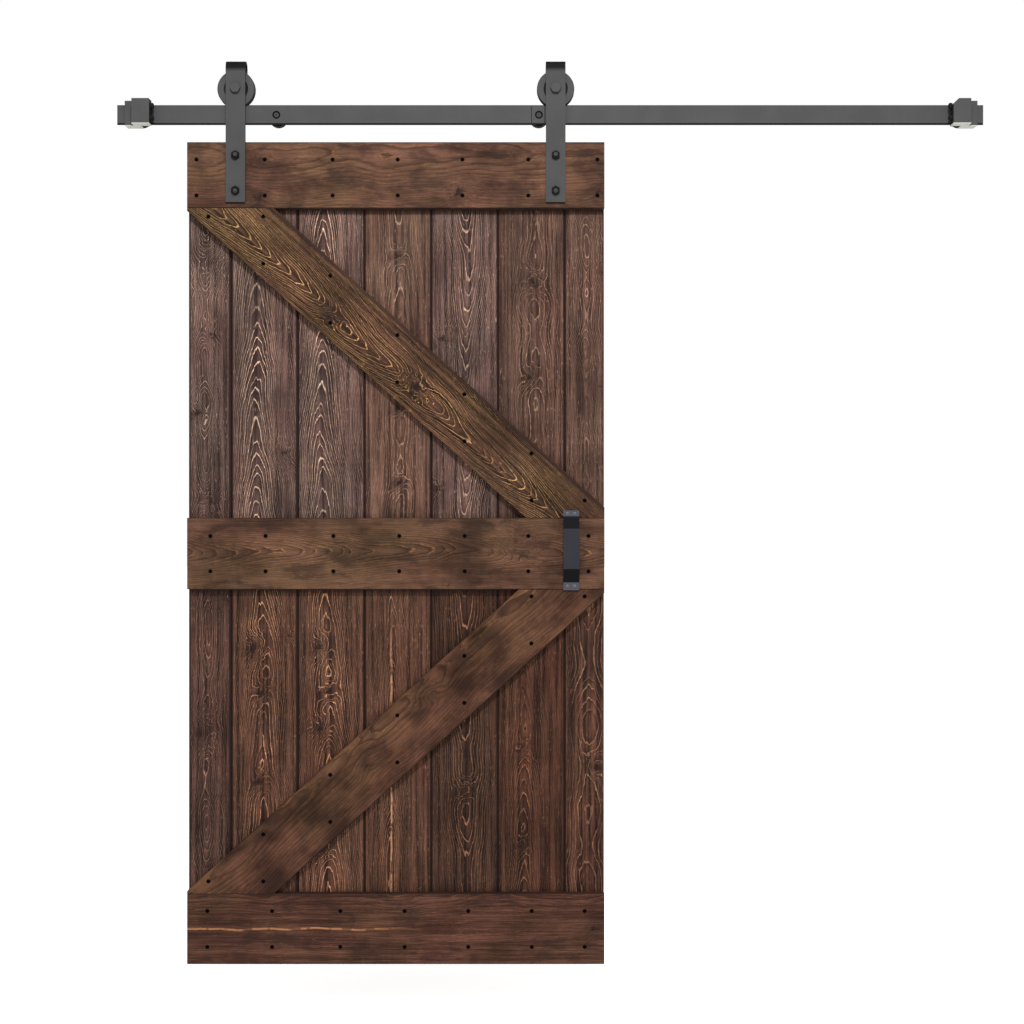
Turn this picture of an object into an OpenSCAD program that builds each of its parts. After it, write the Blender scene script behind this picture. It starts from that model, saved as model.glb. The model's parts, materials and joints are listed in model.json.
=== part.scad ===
// Sliding barn door: a seven-plank leaf with rails and two diagonal braces, hung by two
// J-shaped straps and grooved wheels from a flat steel rail on round wall standoffs.
// Millimetres. +X along the wall, +Y into the wall, +Z up. The wall plane is Y = 0, and the
// origin is where the axis of the screw in the rail joint meets it.

/* [Door leaf] */
// Width of the door leaf
door_w = 1083; // [900:1:1300]
// Height of the door leaf
door_h = 2134; // [1770:1:2500]
// Place of the closed leaf's centre along the wall, from the rail joint
door_centre_x = -371.7; // [-420:0.1:-300]
// Thickness of the planks
plank_t = 19; // [15:0.5:21]
// Thickness of the rails and braces on the front
frame_t = 19; // [15:0.5:21]
// Width of the plank at the left edge
plank_left_w = 110.5; // [90:0.5:140]
// Width of the plank at the right edge
plank_right_w = 102.5; // [90:0.5:140]

/* [Plank edges] */
// Thickness of the tongue
tongue_t = 6; // [4:0.5:8]
// Length of the tongue
tongue_l = 6; // [4:0.5:9]
// Clearance around and beyond the tongue in its groove
tongue_gap = 0.4; // [0.2:0.1:0.8]
// Gap between the shoulders of two planks
seam_gap = 0.6; // [0.2:0.1:1]
// Width of the chamfer that forms half a V-groove
v_groove = 3; // [1:0.5:5]

/* [Rails and braces] */
// Height of the top rail
top_rail_h = 171.3; // [120:0.1:200]
// Height of the middle rail
mid_rail_h = 185.5; // [120:0.1:220]
// Height of the bottom rail
bottom_rail_h = 183.2; // [120:0.1:220]
// Height of the middle rail's lower edge above the bottom of the leaf
mid_rail_z = 972.9; // [850:0.1:1100]
// Width of a brace, square to its length
brace_w = 157; // [110:1:190]
// Height of the upper brace's blunt end at the left edge
upper_nose_left = 7.5; // [2:0.5:40]
// Height of the upper brace's blunt end at the right edge
upper_nose_right = 27.5; // [2:0.5:60]
// Height of the lower brace's blunt end at the left edge
lower_nose_left = 6.5; // [2:0.5:40]
// Height of the lower brace's blunt end at the right edge
lower_nose_right = 10; // [2:0.5:60]
// Eased corner along the front edges of the boards
board_ease = 1.5; // [0.5:0.1:3]
// Gap where one board butts against another
butt_gap = 0.4; // [0.1:0.1:1]

/* [Wood screws] */
// Radius of a screw head
screw_head_r = 4.6; // [3.5:0.1:6]
// Depth of the countersunk head
screw_head_t = 2.6; // [2:0.1:4]
// Depth of the head's face below the board's face
screw_sink = 0.5; // [0.2:0.1:1.5]
// Radius of the screw's shank
screw_r = 2.2; // [1.5:0.1:3]
// Length of the screw under its head
screw_l = 28; // [20:1:32]
// Clearance around a screw in wood
screw_gap = 0.1; // [0.05:0.05:0.3]
// Distance from the top rail's long edges to its screw rows
top_screw_edge = 39; // [25:1:60]
// Distance that the top rail's screw rows sit below its middle
top_screw_drop = 6.5; // [0:0.5:10]
// Distance from the middle rail's long edges to its screw rows
mid_screw_edge = 47; // [25:1:60]
// Distance from the bottom rail's long edges to its screw rows
bottom_screw_edge = 45; // [25:1:60]
// Height between the two screws of a pair in a brace
brace_screw_pitch = 122; // [80:1:140]
// Least height between a brace's screw and the cross rail above or below it
brace_screw_edge = 10; // [8:0.5:12]
// Height that a brace's screw rows sit above its middle line
brace_screw_lift = 5; // [0:0.5:10]
// How much flatter than a brace its screw rows run, as a share of its slope
brace_screw_ease = 0.025; // [0:0.005:0.05]

/* [Wall rail] */
// Length of the left rail bar, to the lap joint's front seam
rail_left_l = 1077.7; // [1000:0.1:1250]
// Length of the right rail bar, from the lap joint's front seam
rail_right_l = 1174.4; // [1100:0.1:1400]
// Height of the rail bar
rail_h = 50.8; // [45:0.1:61]
// Thickness of the rail bar
rail_t = 6.4; // [5:0.1:8]
// Length of the lap joint
lap_l = 38; // [30:1:60]
// Thickness of the front half of the lap joint
lap_front_t = 4.2; // [3.6:0.1:4.4]
// Gap between the faces of the lap joint
lap_gap = 0.1; // [0.05:0.05:0.4]
// Eased corner along the rail's long edges
rail_ease = 1; // [0.3:0.1:1.5]

/* [Wall fixings] */
// Length of a standoff, from the wall to the rail
standoff_l = 36; // [30:0.5:45]
// Radius of a standoff's foot on the wall
standoff_r = 24; // [15:0.5:24]
// Length of a standoff's foot
standoff_foot_l = 20; // [8:0.5:21]
// Radius of a standoff's neck, which passes under the wheels
standoff_neck_r = 15; // [12:0.5:15]
// Place of the fixing between the joint and the left end
left_fixing_x = -683; // [-750:1:-500]
// Radius of the lag screw's plain shank
lag_shank_r = 4.5; // [4.2:0.1:5]
// Clearance around the plain shank in the rail and the standoff
lag_gap = 0.4; // [0.2:0.1:0.8]
// Radius of the lag screw's thread in the wall
lag_thread_r = 4; // [3:0.1:4.1]
// Length of the lag screw's thread in the wall
lag_thread_l = 56; // [40:1:80]
// Length of the lag screw's point
lag_point_l = 8; // [5:0.5:12]
// Radius of the lag screw's head
lag_head_r = 6.5; // [6:0.1:8]
// Radius of the rail's counterbore around that head
counterbore_r = 9.7; // [8.5:0.1:11]
// Depth of the rail's counterbore
counterbore_d = 2.5; // [2:0.1:2.8]

/* [Hangers] */
// Distance between the two hanger straps
hanger_spread = 830; // [700:1:900]
// Width of a strap
strap_w = 50.8; // [40:0.1:60]
// Thickness of a strap
strap_t = 6; // [4:0.5:8]
// Length of the strap on the door's face
strap_lap = 157; // [145:1:170]
// Depth of the upper strap bolt below the door's top edge
strap_bolt_drop = 35.6; // [28:0.1:50]
// Height between the two strap bolts
strap_bolt_pitch = 91.6; // [70:0.1:100]
// Gap between the rail's underside and the door's top edge
top_gap = 47.4; // [35:0.1:60]
// Gap between the wheel and the inside of the strap's bend
crown_gap = 18.5; // [5:0.5:30]
// Height of the end of the strap's back leg above the rail
back_leg_gap = 15; // [4:0.5:20]
// Radius of a strap bolt's shank
bolt_r = 5; // [4:0.1:6]
// Clearance around a strap bolt
bolt_gap = 0.3; // [0.1:0.1:0.6]
// Width across flats of a strap bolt's head
bolt_flats = 20; // [15:0.5:24]
// Height of a strap bolt's head
bolt_head_t = 6; // [4:0.5:8]
// Radius of the round crown on a strap bolt's head
bolt_crown_r = 4.4; // [3:0.1:6]
// Height of the round crown
bolt_crown_t = 1.6; // [0.5:0.1:3]
// Radius of the washers behind the door
washer_r = 13; // [11:0.5:15]
// Thickness of a washer
washer_t = 1.6; // [1:0.1:2.5]
// Thickness of a strap nut
nut_t = 5; // [4:0.5:6]
// Width across flats of a strap nut
nut_flats = 17; // [14:0.5:19]

/* [Wheels] */
// Radius of the tread that runs on the rail
tread_r = 40; // [30:0.5:45]
// Height of the flanges beyond the tread
flange_h = 8.5; // [5:0.5:12]
// Width of the wheel
wheel_w = 20; // [18:0.5:24]
// Clearance between the tread and the rail
tread_gap = 0.35; // [0.3:0.05:0.5]
// Clearance between a flange and the rail's side
flange_gap = 0.7; // [0.5:0.1:1]
// Clearance between the wheel and each leg of the strap
wheel_side_gap = 1; // [0.6:0.1:2]
// Radius of the recess in the wheel's faces
recess_r = 31.5; // [25:0.5:33]
// Depth of that recess
recess_d = 3.5; // [1:0.5:4]
// Radius of the hub around the bearing
hub_r = 21; // [18:0.5:23]
// Radius of the bearing
bearing_r = 16; // [14:0.5:17]
// Width of the bearing
bearing_w = 10; // [7:0.5:11]
// Radius of the bearing's inner ring
inner_ring_r = 9.2; // [8.5:0.1:11]
// Running clearance inside the bearing
bearing_gap = 0.05; // [0.02:0.01:0.09]
// Radius of the axle bolt
axle_r = 6; // [5:0.1:7]
// Clearance around the axle bolt in what it clamps
axle_gap = 0.15; // [0.1:0.05:0.3]
// Width across flats of the axle bolt's head
axle_flats = 24; // [18:0.5:28]
// Height of the axle bolt's head
axle_head_t = 7; // [5:0.5:9]
// Thickness of the axle nut
axle_nut_t = 7; // [5:0.5:8]
// Width across flats of the axle nut
axle_nut_flats = 19; // [17:0.5:22]
// Length of the axle bolt past its nut
axle_tail = 1.5; // [0.5:0.5:2]

/* [End stops] */
// Distance from the rail's left end to the left stop's clamp
stop_inset_left = 21.4; // [15:0.1:40]
// Distance from the rail's right end to the right stop's clamp
stop_inset_right = 17.3; // [15:0.1:40]
// Width of the clamp around the rail
clamp_w = 43; // [38:0.5:50]
// Thickness of the clamp above the rail
clamp_top = 8.6; // [6:0.1:12]
// Thickness of the clamp below the rail
clamp_bottom = 3.4; // [3:0.1:8]
// Thickness of the clamp behind the rail
clamp_back = 12; // [8:0.5:16]
// Clearance between the clamp and the rail
clamp_gap = 0.3; // [0.1:0.05:0.5]
// Clearance between the clamp's notch and the standoff's neck
notch_gap = 0.5; // [0.3:0.1:1]
// Place of the end fixing behind the clamp, from the clamp's outer side
end_fixing_in = 35; // [35:0.5:38]
// Place of the block, from the clamp's outer side
block_in = 24; // [18:0.5:26]
// Width of the block
block_w = 45.6; // [40:0.1:55]
// Thickness of the block
block_t = 25; // [20:0.5:30]
// Cut corner at the top of the right block, on its inner side
block_chamfer = 14; // [4:0.5:16]
// Radius of a bumper
bumper_r = 8; // [6:0.5:9]
// Length of a bumper beyond the block
bumper_l = 8; // [5:0.5:12]
// Height between the two bumpers
bumper_pitch = 31; // [22:0.5:36]
// Radius of a bumper's spigot
spigot_r = 3; // [2:0.1:4]
// Length of a bumper's spigot
spigot_l = 9; // [5:0.5:14]
// Thickness of the nylon pad under the block and clamp
pad_t = 2; // [1:0.5:4]
// Radius of the screws in a stop
stop_screw_r = 3; // [2.5:0.1:3.5]
// Length of a block screw in the block
block_screw_l = 16; // [10:0.5:18]
// Height of a set screw above the clamp
set_screw_up = 1.5; // [0:0.1:3]

/* [Pull handle] */
// Width of the handle's bar
handle_w = 41; // [30:1:50]
// Thickness of the handle's bar
handle_t = 5; // [4:0.5:6]
// Distance from the door's right edge to the handle's middle
handle_in = 86.3; // [60:0.1:110]
// Height of the handle's lower end above the bottom of the leaf
handle_z = 971; // [900:1:1050]
// Distance from the door's face to the front of the grip
handle_out = 36; // [28:0.5:45]
// Height of the lower mounting flange
flange_bottom_h = 22; // [14:0.5:28]
// Height of the lower sloped leg
leg_bottom_h = 36; // [25:0.5:45]
// Height of the flat grip
grip_h = 100; // [80:1:130]
// Height of the upper sloped leg
leg_top_h = 32; // [25:0.5:45]
// Height of the upper mounting flange
flange_top_h = 17; // [14:0.5:28]
// Distance between the two screws in a flange
handle_screw_pitch = 18; // [12:0.5:24]
// Radius of a handle screw's head
handle_screw_head_r = 3.6; // [3:0.1:4.5]
// Height of a handle screw's head
handle_screw_head_t = 1.8; // [1:0.1:3]
// Radius of a handle screw's shank
handle_screw_r = 1.9; // [1.5:0.1:2.5]
// Length of a handle screw in the wood
handle_screw_l = 22; // [15:1:30]

/* [Hidden] */
$fn = 64;

// Planks, and how far hand-driven screws stand off each plank's middle, left to right.
plank_n = 7;
plank_cover = (door_w - plank_left_w - plank_right_w) / (plank_n - 2);
top_scatter = [-31, 4, 6, 1, -5, -8, 33];
mid_scatter = [5, 6, 8, 5, 1, -8, 10];
bottom_scatter = [-3, 23, 26, 19, 10, 1, 0];

// Distances from the wall, outwards. The wheel sits over the middle of the rail, and the
// strap's inner faces stand clear of it, so the door's face follows from the wheel.
rail_back = standoff_l;
rail_front = standoff_l + rail_t;
wheel_out = standoff_l + rail_t / 2;
leg_span = wheel_w + 2 * wheel_side_gap;
door_face = wheel_out + leg_span / 2;
plank_face = door_face - frame_t;
door_back = plank_face - plank_t;
strap_face = door_face + strap_t;
back_leg_face = wheel_out - leg_span / 2;
back_leg_back = back_leg_face - strap_t;

// Heights.
axle_z = rail_h / 2 + tread_gap + tread_r;
flange_r = tread_r + flange_h;
crown_z = axle_z + flange_r + crown_gap - leg_span / 2;
door_top = -rail_h / 2 - top_gap;
door_bottom = door_top - door_h;
door_left = door_centre_x - door_w / 2;
top_rail_z = door_h - top_rail_h;
mid_rail_top = mid_rail_z + mid_rail_h;
strap_bottom = door_top - strap_lap;
bolt_heights = [door_top - strap_bolt_drop, door_top - strap_bolt_drop - strap_bolt_pitch];

// Places along the wall.
left_hanger_x = door_centre_x - hanger_spread / 2;
right_hanger_x = door_centre_x + hanger_spread / 2;
seam_x = -lap_l / 2;
lap_out = rail_front - lap_front_t;
rail_left_end = seam_x - rail_left_l;
rail_right_end = seam_x + rail_right_l;
left_stop_x = rail_left_end + stop_inset_left;
right_stop_x = rail_right_end - stop_inset_right;
fixings = [left_stop_x + end_fixing_in, left_fixing_x, 0, right_stop_x - end_fixing_in];

// Stop sizes that follow from the rail and the strap.
clamp_z0 = -rail_h / 2 - clamp_gap - clamp_bottom;
clamp_z1 = rail_h / 2 + clamp_gap + clamp_top;
block_mid_z = (clamp_z0 + clamp_z1) / 2;
block_front = door_face + block_t;
bumper_out = door_face + bumper_r + 1;
clamp_back_out = rail_back - clamp_gap - clamp_back;
block_screw_in = (block_in + clamp_w) / 2;
block_screw_pitch = (clamp_z1 - clamp_z0) / 2;
block_screw_head = 2 * stop_screw_r;
set_screw_pitch = clamp_w / 2;

// Handle: its height, and the place of its lower end.
handle_h = flange_bottom_h + leg_bottom_h + grip_h + leg_top_h + flange_top_h;
handle_x = door_left + door_w - handle_in;
handle_low = door_bottom + handle_z;
fit = 0.05;
past = 1;

// ---------- helpers ----------

// Turns +Z to +Y, so that turned parts point into the wall.
module into_wall(x, out, z) {
    translate([x, -out, z]) rotate([-90, 0, 0]) children();
}

module rod(r, l) {
    cylinder(r = r, h = l);
}

module ring(r_out, r_in, l) {
    difference() {
        rod(r_out, l);
        translate([0, 0, -past]) rod(r_in, l + 2 * past);
    }
}

// Box between two distances from the wall.
module slab(x0, x1, out0, out1, z0, z1) {
    translate([x0, -out1, z0]) cube([x1 - x0, out1 - out0, z1 - z0]);
}

// Outline in the Y-Z plane, run along X from x0 to x1.
module run_x(x0, x1) {
    translate([x0, 0, 0]) rotate([90, 0, 90]) linear_extrude(x1 - x0) children();
}

module hexagon(flats, l) {
    cylinder(r = flats / sqrt(3), h = l, $fn = 6);
}

module in_door() {
    translate([door_left, 0, door_bottom]) children();
}

// ---------- wall rail ----------

function bar_outline(out0, out1) = [
    [-out0, -rail_h / 2 + rail_ease], [-out0, rail_h / 2 - rail_ease],
    [-out0 - rail_ease, rail_h / 2], [-out1 + rail_ease, rail_h / 2],
    [-out1, rail_h / 2 - rail_ease], [-out1, -rail_h / 2 + rail_ease],
    [-out1 + rail_ease, -rail_h / 2], [-out0 - rail_ease, -rail_h / 2]];

module rail_bar(x0, x1) {
    run_x(x0, x1) polygon(bar_outline(rail_back, rail_front));
}

// Hole for a lag screw, with the counterbore that holds its head.
module fixing_hole(x) {
    into_wall(x, rail_front + past, 0) rod(lag_shank_r + lag_gap, rail_t + 2 * past);
    into_wall(x, rail_front + past, 0) rod(counterbore_r, counterbore_d + past);
}

// The left bar keeps its back half across the lap, and the right bar its front half.
module wall_rail_left() {
    color([0.33, 0.33, 0.33]) difference() {
        rail_bar(rail_left_end, -seam_x - lap_gap);
        slab(seam_x - lap_gap, -seam_x + past, lap_out - lap_gap / 2, rail_front + past,
            -rail_h, rail_h);
        fixing_hole(fixings[0]);
        fixing_hole(fixings[1]);
        fixing_hole(fixings[2]);
    }
}

module wall_rail_right() {
    color([0.33, 0.33, 0.33]) difference() {
        rail_bar(seam_x, rail_right_end);
        slab(seam_x - past, -seam_x, rail_back - past, lap_out + lap_gap / 2, -rail_h, rail_h);
        fixing_hole(fixings[2]);
        fixing_hole(fixings[3]);
    }
}

// A wide foot on the wall and a narrower neck, so that the wheels' flanges pass over it.
module standoff(x) {
    ease = 1;
    color([0.33, 0.33, 0.33]) into_wall(x, standoff_l, 0) rotate_extrude() polygon([
        [lag_shank_r + lag_gap, 0], [standoff_neck_r, 0],
        [standoff_neck_r, standoff_l - standoff_foot_l - ease],
        [standoff_r - ease, standoff_l - standoff_foot_l], [standoff_r, standoff_l - standoff_foot_l + ease],
        [standoff_r, standoff_l], [lag_shank_r + lag_gap, standoff_l]]);
}

// Lag screw with a socket head: the thread starts at the wall plane.
module lag_screw(x) {
    head_out = rail_front - 0.3;
    seat_out = rail_front - counterbore_d;
    head_t = head_out - seat_out;
    socket_d = head_t / 2;
    color([0.3, 0.3, 0.3]) into_wall(x, head_out, 0) difference() {
        rotate_extrude() polygon([
            [0, 0], [lag_head_r - 0.6, 0], [lag_head_r, 0.6], [lag_head_r, head_t],
            [lag_shank_r, head_t], [lag_shank_r, head_out], [lag_thread_r, head_out],
            [lag_thread_r, head_out + lag_thread_l],
            [0.4, head_out + lag_thread_l + lag_point_l],
            [0, head_out + lag_thread_l + lag_point_l]]);
        translate([0, 0, -past]) hexagon(lag_head_r * 0.9, socket_d + past);
    }
}

// ---------- end stops, drawn for the left end ----------

// The right stop is the left one mirrored, at its own place.
module at_stop(right) {
    if (right) translate([right_stop_x, 0, 0]) mirror([1, 0, 0]) children();
    else translate([left_stop_x, 0, 0]) children();
}

module block_screw_places() {
    for (up = [-0.5, 0.5])
        translate([block_screw_in, 0, block_mid_z + up * block_screw_pitch]) children();
}

module set_screw_places() {
    for (side = [-0.5, 0.5])
        translate([clamp_w / 2 + side * set_screw_pitch, 0, 0]) children();
}

// A channel around the rail, with a notch that slides past the standoff.
module stop_clamp(right) {
    notch_r = standoff_neck_r + notch_gap;
    color([0.33, 0.33, 0.33]) at_stop(right) difference() {
        slab(0, clamp_w, clamp_back_out, door_face, clamp_z0, clamp_z1);
        slab(-past, clamp_w + past, rail_back - clamp_gap, rail_front + clamp_gap,
            -rail_h / 2 - clamp_gap, rail_h / 2 + clamp_gap);
        into_wall(end_fixing_in, rail_back, 0) rod(notch_r, rail_back - clamp_back_out + past);
        slab(end_fixing_in, clamp_w + past, clamp_back_out - past, rail_back, -notch_r, notch_r);
        block_screw_places() into_wall(0, door_face + past, 0)
            rod(stop_screw_r + fit, block_t);
        block_screw_places() into_wall(0, rail_front + clamp_gap + stop_screw_r, 0)
            cylinder(r1 = stop_screw_r + fit, r2 = block_screw_head + fit, h = stop_screw_r);
        set_screw_places() translate([0, -wheel_out, rail_h / 2])
            rod(stop_screw_r + fit, clamp_top + 3 * past);
    }
}

module stop_block(right) {
    corner = right ? block_chamfer : 1;
    x1 = block_in + block_w;
    color([0.33, 0.33, 0.33]) at_stop(right) difference() {
        translate([0, -door_face, 0]) rotate([90, 0, 0]) linear_extrude(block_t) polygon([
            [block_in, clamp_z0], [x1, clamp_z0], [x1, clamp_z1 - corner],
            [x1 - corner, clamp_z1], [block_in, clamp_z1]]);
        block_screw_places() into_wall(0, door_face + block_screw_l + fit, 0)
            rod(stop_screw_r + fit, block_screw_l + past);
        bumper_places() translate([-spigot_l - fit, 0, 0]) rotate([0, 90, 0])
            rod(spigot_r + fit, spigot_l + past);
    }
}

module bumper_places() {
    for (up = [-0.5, 0.5])
        translate([block_in + block_w, -bumper_out, block_mid_z + up * bumper_pitch]) children();
}

module stop_bumpers(right) {
    round_r = 2;
    color([0.08, 0.08, 0.08]) at_stop(right) bumper_places() rotate([0, 90, 0])
        rotate_extrude() polygon([
            [0, -spigot_l], [spigot_r, -spigot_l], [spigot_r, 0], [bumper_r, 0],
            [bumper_r, bumper_l - round_r], [bumper_r - round_r, bumper_l], [0, bumper_l]]);
}

// An L in plan: it covers the undersides of the clamp and the block.
module stop_pad(right) {
    edge = 2;
    block_end = block_in + block_w;
    color([0.8, 0.78, 0.72]) at_stop(right) translate([0, 0, clamp_z0 - pad_t])
        linear_extrude(pad_t) polygon([
            [edge, -clamp_back_out], [clamp_w, -clamp_back_out], [clamp_w, -door_face],
            [block_end, -door_face], [block_end, -block_front], [block_in, -block_front],
            [block_in, -door_face], [edge, -door_face]]);
}

module stop_screws(right) {
    color([0.2, 0.2, 0.2]) at_stop(right) {
        block_screw_places() into_wall(0, door_face + block_screw_l, 0) rotate_extrude() polygon([
            [0, 0], [stop_screw_r, 0],
            [stop_screw_r, block_screw_l + door_face - rail_front - clamp_gap - stop_screw_r],
            [block_screw_head, block_screw_l + door_face - rail_front - clamp_gap],
            [0, block_screw_l + door_face - rail_front - clamp_gap]]);
        set_screw_places() translate([0, -wheel_out, rail_h / 2]) difference() {
            rod(stop_screw_r, clamp_top + clamp_gap + set_screw_up);
            translate([0, 0, clamp_top + clamp_gap + set_screw_up - 2.5])
                hexagon(stop_screw_r, 2.5 + past);
        }
    }
}

// ---------- planks ----------

function plank_x(i) = i == 0 ? 0 : i == plank_n ? door_w : plank_left_w + (i - 1) * plank_cover;
function plank_mid(i) = (plank_x(i) + plank_x(i + 1)) / 2;

// Section of plank i, seen from above, with its front face at the plank face.
module plank_outline(i) {
    x0 = plank_x(i) + (i == 0 ? 0 : seam_gap / 2);
    x1 = plank_x(i + 1) - (i == plank_n - 1 ? 0 : seam_gap / 2);
    y0 = -plank_face;
    y1 = -door_back;
    mid_y = (y0 + y1) / 2;
    groove_t = tongue_t + 2 * tongue_gap;
    groove_l = tongue_l + tongue_gap - seam_gap;
    difference() {
        union() {
            polygon([
                [x0, y0 + v_groove], [x0 + v_groove, y0], [x1 - v_groove, y0],
                [x1, y0 + v_groove], [x1, y1 - v_groove], [x1 - v_groove, y1],
                [x0 + v_groove, y1], [x0, y1 - v_groove]]);
            if (i < plank_n - 1)
                translate([x1 - past, mid_y - tongue_t / 2]) square([tongue_l + past, tongue_t]);
        }
        if (i > 0)
            translate([x0 - past, mid_y - groove_t / 2]) square([groove_l + past, groove_t]);
    }
}

module plank(i) {
    color([0.42, 0.31, 0.26]) difference() {
        in_door() linear_extrude(door_h) plank_outline(i);
        screw_holes([for (s = all_screws) if (s[0] > plank_x(i) && s[0] < plank_x(i + 1)) s]);
        for (x = [left_hanger_x, right_hanger_x])
            if (x - door_left > plank_x(i) && x - door_left < plank_x(i + 1)) bolt_holes(x);
        handle_screw_places() into_wall(0, 0, 0)
            rod(handle_screw_r + screw_gap, handle_screw_l + screw_gap);
    }
}

// ---------- rails and braces of the leaf ----------

// Section of a board of height h about Z = 0, with its front edges eased.
function board_outline(h) = [
    [-plank_face, -h / 2], [-plank_face, h / 2], [-door_face + board_ease, h / 2],
    [-door_face, h / 2 - board_ease], [-door_face, -h / 2 + board_ease],
    [-door_face + board_ease, -h / 2]];

module cross_rail(z0, h, screws) {
    color([0.4, 0.28, 0.23]) difference() {
        in_door() translate([0, 0, z0 + h / 2]) run_x(0, door_w) polygon(board_outline(h));
        screw_holes(screws);
        if (z0 == top_rail_z) for (x = [left_hanger_x, right_hanger_x]) bolt_holes(x);
        handle_screw_places() into_wall(0, 0, 0)
            rod(handle_screw_r + screw_gap, handle_screw_l + screw_gap);
    }
}

// A brace runs from the corner z_left on the door's left edge to the corner z_right on its
// right edge. It falls to the right when way is -1 and rises when way is 1.
function brace_angle(z_left, z_right) =
    asin(brace_w / norm([door_w, z_right - z_left])) + atan2(abs(z_right - z_left), door_w);
function brace_z(x, z_left, z_right, way) =
    let (a = brace_angle(z_left, z_right), h = brace_w / 2)
    z_left - way * h * cos(a) + way * tan(a) * (x - h * sin(a));

upper_left_z = top_rail_z - upper_nose_left;
upper_right_z = mid_rail_top + upper_nose_right;
lower_left_z = bottom_rail_h + lower_nose_left;
lower_right_z = mid_rail_z - lower_nose_right;

module brace(z_left, z_right, way, z_low, z_high, screws) {
    color([0.4, 0.29, 0.23]) difference() {
        in_door() intersection() {
            translate([door_w / 2, 0, brace_z(door_w / 2, z_left, z_right, way)])
                rotate([0, -way * brace_angle(z_left, z_right), 0])
                run_x(-door_w, door_w) polygon(board_outline(brace_w));
            slab(0, door_w, plank_face, door_face, z_low + butt_gap, z_high - butt_gap);
        }
        screw_holes(screws);
        handle_screw_places() into_wall(0, 0, 0)
            rod(handle_screw_r + screw_gap, handle_screw_l + screw_gap);
    }
}

// ---------- wood screws ----------

// Places in the leaf: X from its left edge, Z from its bottom edge.
function rail_rows(z0, h, edge, scatter) = [
    for (i = [0 : plank_n - 1], z = [z0 + edge, z0 + h - edge]) [plank_mid(i) + scatter[i], z]];
// A brace's screws never come closer than brace_screw_edge to the rails at z_low and z_high.
function brace_rows(z_left, z_right, way, z_low, z_high) = [
    for (s = free_brace_rows(z_left, z_right, way))
        [s[0], min(max(s[1], z_low + brace_screw_edge), z_high - brace_screw_edge)]];
function free_brace_rows(z_left, z_right, way) =
    let (half = brace_screw_pitch / 2,
        mid_z = brace_z((plank_mid(1) + plank_mid(plank_n - 2)) / 2, z_left, z_right, way),
        row_z = [for (i = [0 : plank_n - 1]) let (z = brace_z(plank_mid(i), z_left, z_right, way))
            z + brace_screw_lift - brace_screw_ease * (z - mid_z)])
    concat([[plank_mid(0), row_z[1] - way * half]],
        [for (i = [1 : plank_n - 2], up = [-half, half]) [plank_mid(i), row_z[i] + up]],
        [[plank_mid(plank_n - 1), row_z[plank_n - 2] + way * half]]);

top_rail_screws = rail_rows(top_rail_z - top_screw_drop, top_rail_h, top_screw_edge, top_scatter);
mid_rail_screws = rail_rows(mid_rail_z, mid_rail_h, mid_screw_edge, mid_scatter);
bottom_rail_screws = rail_rows(0, bottom_rail_h, bottom_screw_edge, bottom_scatter);
upper_brace_screws = brace_rows(upper_left_z, upper_right_z, -1, mid_rail_top, top_rail_z);
lower_brace_screws = brace_rows(lower_left_z, lower_right_z, 1, bottom_rail_h, mid_rail_z);
all_screws = concat(top_rail_screws, mid_rail_screws, bottom_rail_screws,
    upper_brace_screws, lower_brace_screws);

module screw_shape(gap) {
    rotate_extrude() polygon([
        [0, -gap], [screw_head_r + gap, -gap], [screw_head_r + gap, 0],
        [screw_r + gap, screw_head_t], [screw_r + gap, screw_head_t + screw_l + gap],
        [0, screw_head_t + screw_l + gap]]);
}

module screw_holes(places) {
    in_door() for (s = places) {
        into_wall(s[0], door_face - screw_sink, s[1]) screw_shape(screw_gap);
        into_wall(s[0], door_face + past, s[1]) rod(screw_head_r + screw_gap, screw_sink + past);
    }
}

module wood_screws(places) {
    color([0.08, 0.08, 0.08]) in_door() for (s = places)
        into_wall(s[0], door_face - screw_sink, s[1]) screw_shape(0);
}

// ---------- hangers ----------

module bolt_holes(x) {
    for (z = bolt_heights) into_wall(x, strap_face + past, z) rod(bolt_r + bolt_gap, strap_face + past);
}

// A flat bar bent over the wheel: long leg on the door's face, short leg behind the wheel.
module strap(x) {
    inner_r = leg_span / 2;
    outer_r = inner_r + strap_t;
    back_leg_z = rail_h / 2 + back_leg_gap;
    color([0.33, 0.33, 0.33]) difference() {
        union() {
            slab(x - strap_w / 2, x + strap_w / 2, door_face, strap_face, strap_bottom, crown_z);
            slab(x - strap_w / 2, x + strap_w / 2, back_leg_back, back_leg_face, back_leg_z, crown_z);
            translate([x - strap_w / 2, -wheel_out, crown_z]) rotate([0, 90, 0])
                intersection() {
                    ring(outer_r, inner_r, strap_w);
                    translate([-2 * outer_r, -outer_r, 0]) cube([2 * outer_r, 2 * outer_r, strap_w]);
                }
        }
        bolt_holes(x);
        into_wall(x, strap_face + past, axle_z)
            rod(axle_r + axle_gap, strap_face - back_leg_back + 2 * past);
    }
}

// Hex head with a round crown; its points stand above and below.
module strap_bolts(x) {
    tail = door_back - washer_t - nut_t - 1;
    color([0.08, 0.08, 0.08]) for (z = bolt_heights) into_wall(x, strap_face, z) union() {
        translate([0, 0, -past]) rod(bolt_r, strap_face - tail + past);
        translate([0, 0, -bolt_head_t]) rotate([0, 0, 30]) head_shape(bolt_flats, bolt_head_t);
        translate([0, 0, -bolt_head_t - bolt_crown_t]) rod(bolt_crown_r, bolt_crown_t + past);
    }
}

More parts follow.
